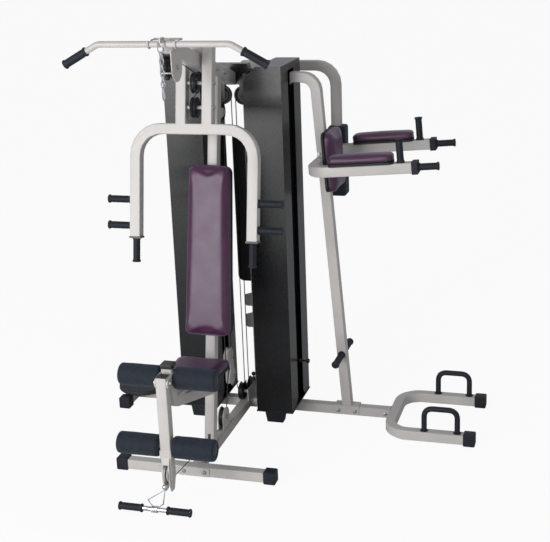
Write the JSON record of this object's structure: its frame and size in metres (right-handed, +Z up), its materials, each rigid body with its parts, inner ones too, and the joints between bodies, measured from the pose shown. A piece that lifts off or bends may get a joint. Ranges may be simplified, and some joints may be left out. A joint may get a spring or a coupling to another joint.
{
  "type": "multi station home gym",
  "caption": "Multi station home gym with weight stacks behind shrouds, press arm, seat and leg lever, lat bar, dip station, rear backrest, twister disc and push-up handles.",
  "frame": {"origin": "middle of the whole outline on the floor plane", "axes": "+Z up, +X along the rear base tube towards the dip station, +Y from the seat towards the rear frame"},
  "size_m": [1.992, 1.6326, 2.078],
  "materials": {
    "grey_paint": "warm light grey satin paint",
    "black_gloss": "black gloss paint on sheet",
    "black_rubber": "matt blue-black moulded rubber",
    "purple_leather": "burgundy purple leatherette with a soft sheen",
    "roller_foam": "matt blue-black closed-cell foam",
    "chrome": "bright chrome plate",
    "black_iron": "black painted plates",
    "black_nylon": "black nylon",
    "cable_skin": "black nylon skin on steel cable"
  },
  "bodies": {
    "frame": {"front_cross_tube": "grey_paint", "main_base_tube": "grey_paint", "rear_base_tube": "grey_paint", "floor_u_tube": "grey_paint", "main_upright": "grey_paint", "top_boom": "grey_paint", "seat_support": "grey_paint", "rear_frame": "grey_paint", "rear_arm_tube": "grey_paint", "side_upright": "grey_paint", "dip_arm_front": "grey_paint", "dip_arm_rear": "grey_paint", "front_cap_left": "black_rubber", "front_cap_right": "black_rubber", "foot_cap_front": "black_rubber", "foot_cap_rear": "black_rubber", "floor_u_cap_front": "black_rubber", "floor_u_cap_rear": "black_rubber", "pushup_handle_front": "black_rubber", "pushup_handle_rear": "black_rubber", "top_crossbeam": "black_gloss", "shroud_left_front": "black_gloss", "shroud_left_rear": "black_gloss", "shroud_right_front": "black_gloss", "shroud_right_rear": "black_gloss", "guide_rods_left": "chrome", "guide_rods_right": "chrome", "plates_resting_left": "black_iron", "plates_resting_right": "black_iron", "backrest_pad": "purple_leather", "seat_pad": "purple_leather", "rear_backrest": "purple_leather", "dip_back_pad": "purple_leather", "dip_arm_pad_front": "purple_leather", "dip_arm_pad_rear": "purple_leather", "upper_cable": "cable_skin", "low_cable": "cable_skin", "rear_cable": "cable_skin"},
    "press_arm": {"press_arm": "grey_paint"},
    "press_pulley_upper": {"press_pulley_upper": "black_nylon"},
    "press_pulley_lower": {"press_pulley_lower": "black_nylon"},
    "leg_lever": {"leg_lever": "grey_paint"},
    "row_bar": {"row_bar": "chrome"},
    "lat_bar": {"lat_bar": "grey_paint", "lat_chain": "chrome"},
    "twister_disc": {"twister_disc": "black_rubber"},
    "pulley_block": {"pulley_block": "black_nylon"},
    "plates_left": {"plates_lifted_left": "black_iron"},
    "plates_right": {"plates_lifted_right": "black_iron"},
    "roller_upper_left": {"roller_upper_left": "roller_foam"},
    "roller_upper_right": {"roller_upper_right": "roller_foam"},
    "roller_lower_left": {"roller_lower_left": "roller_foam"},
    "roller_lower_right": {"roller_lower_right": "roller_foam"},
    "lat_pulley": {"lat_pulley": "black_nylon"},
    "low_pulley": {"low_pulley": "black_nylon"},
    "upright_pulley": {"upright_pulley": "black_nylon"},
    "floor_pulley_front": {"floor_pulley_front": "black_nylon"},
    "floor_pulley_rear": {"floor_pulley_rear": "black_nylon"},
    "centre_pulley_left": {"centre_pulley_left": "black_nylon"},
    "centre_pulley_right": {"centre_pulley_right": "black_nylon"}
  },
  "joints": [
    {"name": "press_arm_pivot", "type": "hinge", "parent": "frame", "child": "press_arm", "pos_m": [-0.259, -0.08475, 1.98], "axis": [-1, 0, 0], "range_deg": [0, 35], "deforming": ["upper_cable", "low_cable"]},
    {"name": "press_pulley_upper_turn", "type": "hinge", "parent": "press_arm", "child": "press_pulley_upper", "pos_m": [-0.259, -0.11404, 1.829], "axis": [1, 0, 0], "continuous": true},
    {"name": "press_pulley_lower_turn", "type": "hinge", "parent": "press_arm", "child": "press_pulley_lower", "pos_m": [-0.259, -0.135, 1.721], "axis": [1, 0, 0], "continuous": true},
    {"name": "leg_lever_pivot", "type": "hinge", "parent": "frame", "child": "leg_lever", "pos_m": [-0.259, -0.73975, 0.615], "axis": [-1, 0, 0], "range_deg": [0, 80], "deforming": ["low_cable"]},
    {"name": "roller_upper_left_turn", "type": "hinge", "parent": "frame", "child": "roller_upper_left", "pos_m": [-0.259, -0.66675, 0.612], "axis": [1, 0, 0], "continuous": true},
    {"name": "roller_upper_right_turn", "type": "hinge", "parent": "frame", "child": "roller_upper_right", "pos_m": [-0.259, -0.66675, 0.612], "axis": [1, 0, 0], "continuous": true},
    {"name": "roller_lower_left_turn", "type": "hinge", "parent": "leg_lever", "child": "roller_lower_left", "pos_m": [-0.259, -0.73975, 0.31], "axis": [1, 0, 0], "continuous": true},
    {"name": "roller_lower_right_turn", "type": "hinge", "parent": "leg_lever", "child": "roller_lower_right", "pos_m": [-0.259, -0.73975, 0.31], "axis": [1, 0, 0], "continuous": true},
    {"name": "row_bar_pull", "type": "slide", "parent": "leg_lever", "child": "row_bar", "axis": [0, -1, 0], "range_m": [0, 0.5], "deforming": ["low_cable"]},
    {"name": "lat_bar_lift", "type": "slide", "parent": "frame", "child": "lat_bar", "axis": [0, 0, 1], "range_m": [0, 0.08]},
    {"name": "twister_turn", "type": "hinge", "parent": "frame", "child": "twister_disc", "pos_m": [-0.856, 0.41925, 0.08], "axis": [0, 0, 1], "continuous": true},
    {"name": "pulley_block_lift", "type": "slide", "parent": "frame", "child": "pulley_block", "axis": [0, 0, 1], "range_m": [0, 0.125], "deforming": ["upper_cable", "low_cable"]},
    {"name": "left_plates_lift", "type": "slide", "parent": "frame", "child": "plates_left", "axis": [0, 0, 1], "range_m": [0, 0.25], "deforming": ["low_cable"]},
    {"name": "right_plates_lift", "type": "slide", "parent": "frame", "child": "plates_right", "axis": [0, 0, 1], "range_m": [0, 0.6], "deforming": ["rear_cable"]},
    {"name": "lat_pulley_turn", "type": "hinge", "parent": "frame", "child": "lat_pulley", "pos_m": [-0.259, -0.40475, 1.94], "axis": [1, 0, 0], "continuous": true},
    {"name": "low_pulley_turn", "type": "hinge", "parent": "frame", "child": "low_pulley", "pos_m": [-0.259, 0.02025, 0.115], "axis": [1, 0, 0], "continuous": true},
    {"name": "upright_pulley_turn", "type": "hinge", "parent": "frame", "child": "upright_pulley", "pos_m": [-0.259, 0.21025, 1.64], "axis": [1, 0, 0], "continuous": true},
    {"name": "floor_pulley_front_turn", "type": "hinge", "parent": "frame", "child": "floor_pulley_front", "pos_m": [-0.2705, 0.37475, 0.106], "axis": [1, 0, 0], "continuous": true},
    {"name": "floor_pulley_rear_turn", "type": "hinge", "parent": "frame", "child": "floor_pulley_rear", "pos_m": [-0.2475, 0.46375, 0.106], "axis": [1, 0, 0], "continuous": true},
    {"name": "centre_pulley_left_turn", "type": "hinge", "parent": "frame", "child": "centre_pulley_left", "pos_m": [-0.315, 0.41925, 1.69], "axis": [0, 1, 0], "continuous": true},
    {"name": "centre_pulley_right_turn", "type": "hinge", "parent": "frame", "child": "centre_pulley_right", "pos_m": [-0.203, 0.41925, 1.69], "axis": [0, 1, 0], "continuous": true}
  ],
  "couplings": [
    {"joint": "left_plates_lift", "follows": "press_arm_pivot", "m_per_rad": 0.38},
    {"joint": "pulley_block_lift", "follows": "press_arm_pivot", "m_per_rad": 0.19},
    {"joint": "upright_pulley_turn", "follows": "press_arm_pivot", "ratio": 8.5393},
    {"joint": "floor_pulley_front_turn", "follows": "press_arm_pivot", "ratio": 8.5393},
    {"joint": "centre_pulley_left_turn", "follows": "press_arm_pivot", "ratio": 8.5393},
    {"joint": "floor_pulley_rear_turn", "follows": "right_plates_lift", "rad_per_m": 22.472},
    {"joint": "centre_pulley_right_turn", "follows": "right_plates_lift", "rad_per_m": -22.472}
  ]
}
